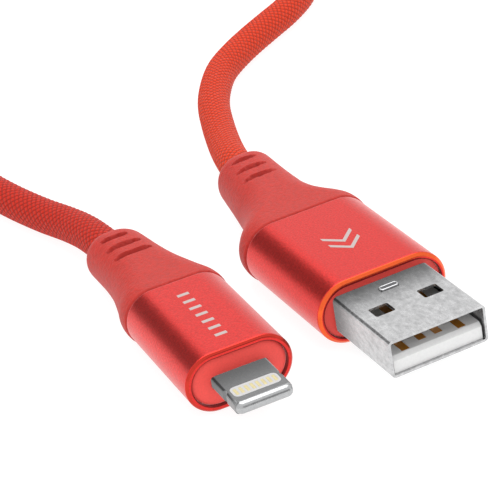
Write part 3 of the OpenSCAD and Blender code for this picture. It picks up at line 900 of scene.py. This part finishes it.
marks = {
    "color": (0.50, 0.42, 0.40),
    "thickness": 0.012,
    "chevron": {"at": (5.9, 0.05), "arm": 1.9, "line": 0.65, "gap": 1.9, "slope": 1.0},
    "bars": {"at": (-8.5, -0.25), "count": 7, "length": 1.4, "line": 0.55, "gap": 1.75},
}
markSilver = newMaterial("markSilver", marks["color"], Roughness=0.5, Specular_IOR_Level=0.3)
addGrain(markSilver, 6000, 0.05, 0.2, (0.4, 0.5))


def addPatch(bm, corners, z):
    # a flat patch from two corners at one end to two at the other
    made = bmesh.ops.create_grid(bm, x_segments=1, y_segments=1, size=1)["verts"]
    for vert in made:
        s, t = (vert.co.x + 1) / 2, (vert.co.y + 1) / 2
        low = Vector(corners[0]).lerp(Vector(corners[1]), s)
        high = Vector(corners[2]).lerp(Vector(corners[3]), s)
        flat = low.lerp(high, t)
        vert.co = Vector((flat.x, flat.y, z)) * mm


def finishMark(bm, name, place):
    bmesh.ops.remove_doubles(bm, verts=bm.verts, dist=mergeGap)
    bmesh.ops.recalc_face_normals(bm, faces=bm.faces)
    raiseFaces(bm, marks["thickness"])
    finishMesh(bm, name, [markSilver], place, 30)


def makeMarks():
    bm = bmesh.new()
    c = marks["chevron"]
    for k in (-0.5, 0.5):
        x = c["at"][0] + k * c["gap"]
        swept = x - c["arm"] * c["slope"]
        for side in (-1, 1):
            tip, end = c["at"][1], c["at"][1] + side * c["arm"]
            corners = [(x, tip), (x + c["line"], tip), (swept, end), (swept + c["line"], end)]
            addPatch(bm, corners, sleeves["wide"]["height"])
    finishMark(bm, "wide_mark", widePlace)
    bm = bmesh.new()
    b = marks["bars"]
    for k in range(b["count"]):
        x = b["at"][0] + (k - (b["count"] - 1) / 2) * b["gap"]
        back, front = x - b["line"] / 2, x + b["line"] / 2
        low, high = b["at"][1] - b["length"] / 2, b["at"][1] + b["length"] / 2
        addPatch(bm, [(back, low), (front, low), (back, high), (front, high)], sleeves["slim"]["height"])
    finishMark(bm, "slim_mark", slimPlace)


makeMarks()
print("marks done")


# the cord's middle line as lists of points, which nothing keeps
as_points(cordLine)


# floor and light

studio = {
    "floor": (0.22, 0.22, 0.22),
    "floorDrop": 0.00003,  # just under the cable
    "floorGlow": 0.88,
    "sky": 1.0,
    "dark": [  # darker patches of sky, for the dark bands on the metal
        {"way": (-0.82, -0.33, 0.43), "edge": (0.905, 0.95), "level": 0.22},
        {"way": (0.85, 0.33, 0.12), "edge": (0.88, 0.95), "level": 0.35},
    ],
    "topLight": {"place": (-0.1, 0.1, 0.6), "aim": (0, 0, 0), "size": (0.6, 0.5), "power": 2.0},
}


def makeFloor():
    bm = bmesh.new()
    bmesh.ops.create_grid(bm, x_segments=1, y_segments=1, size=3)
    bmesh.ops.translate(bm, verts=bm.verts, vec=(0, 0, -studio["floorDrop"]))
    mesh = bpy.data.meshes.new("floor")
    bm.to_mesh(mesh)
    bm.free()
    material = newMaterial("paleFloor", studio["floor"], Roughness=0.9)
    shader = material.node_tree.nodes["Principled BSDF"]
    shader.inputs["Emission Color"].default_value = (1, 1, 1, 1)
    shader.inputs["Emission Strength"].default_value = studio["floorGlow"]
    mesh.materials.append(material)
    floor = bpy.data.objects.new("floor", mesh)
    bpy.context.scene.collection.objects.link(floor)


def makeSky():
    world = bpy.data.worlds.new("studio")
    bpy.context.scene.world = world
    world.use_nodes = True
    tree = world.node_tree
    background = tree.nodes["Background"]
    spot = tree.nodes.new("ShaderNodeTexCoord")
    level = None
    for patch in studio["dark"]:
        facing = tree.nodes.new("ShaderNodeVectorMath")
        facing.operation = "DOT_PRODUCT"
        facing.inputs[1].default_value = Vector(patch["way"]).normalized()
        tree.links.new(spot.outputs["Generated"], facing.inputs[0])
        fade = tree.nodes.new("ShaderNodeMapRange")
        fade.interpolation_type = "SMOOTHSTEP"
        fade.inputs["From Min"].default_value, fade.inputs["From Max"].default_value = patch["edge"]
        fade.inputs["To Min"].default_value = 1.0
        fade.inputs["To Max"].default_value = patch["level"]
        tree.links.new(facing.outputs["Value"], fade.inputs["Value"])
        both = tree.nodes.new("ShaderNodeMath")
        both.operation = "MULTIPLY"
        both.inputs[1].default_value = studio["sky"]
        tree.links.new(fade.outputs["Result"], both.inputs[0])
        if level:
            tree.links.new(level, both.inputs[1])
        level = both.outputs[0]
    tree.links.new(level, background.inputs["Strength"])
    background.inputs["Color"].default_value = (1, 1, 1, 1)


def makeLight(name):
    lamp = studio[name]
    data = bpy.data.lights.new(name, "AREA")
    data.shape = "RECTANGLE"
    data.size, data.size_y = lamp["size"]
    data.energy = lamp["power"]
    light = bpy.data.objects.new(name, data)
    light.location = lamp["place"]
    way = Vector(lamp["aim"]) - Vector(lamp["place"])
    light.rotation_euler = way.to_track_quat("-Z", "Y").to_euler()
    bpy.context.scene.collection.objects.link(light)


makeFloor()
makeSky()
makeLight("topLight")
bpy.context.scene.view_settings.view_transform = "Standard"
print("studio done")
